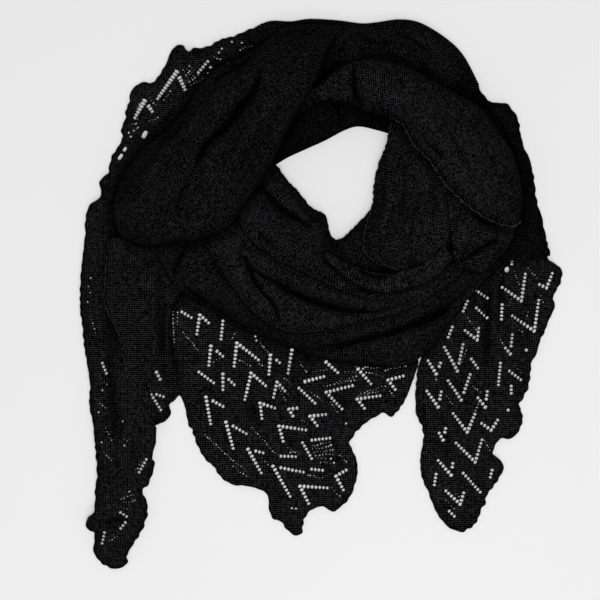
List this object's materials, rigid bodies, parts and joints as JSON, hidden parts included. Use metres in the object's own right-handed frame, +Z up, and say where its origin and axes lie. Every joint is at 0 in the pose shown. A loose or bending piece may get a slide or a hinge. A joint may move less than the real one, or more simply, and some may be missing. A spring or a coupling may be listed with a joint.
{
  "type": "triangle scarf",
  "caption": "Fine-knit triangle scarf with a lace border, wound into a loop with an open neck and laid flat, its two tails and point spread out.",
  "frame": {"origin": "on the surface the scarf lies on, under the middle of its outline", "axes": "+Z up out of the surface, +Y from the tails to the back of the neck, +X to the right"},
  "size_m": [0.5731, 0.6559, 0.0559],
  "materials": {
    "knit": "fine black knit, matt with a soft sheen",
    "lace": "fine black knitted lace, matt"
  },
  "bodies": {
    "root": {"left_tail": "knit", "left_drop": "knit", "left_lobe": "knit", "right_lobe": "knit", "back_neck_band": "knit", "neck_edge_fold": "knit", "right_outer_layer": "knit", "right_inner_wrap": "knit", "neck_hook_fold": "knit", "right_junction": "knit", "cowl_inner_fold": "knit", "cowl_middle_fold": "knit", "cowl_lower_fold": "knit", "left_lace_edge": "lace", "centre_lace_panel": "lace", "right_tail": "lace", "hidden_folds": "knit"}
  },
  "joints": []
}
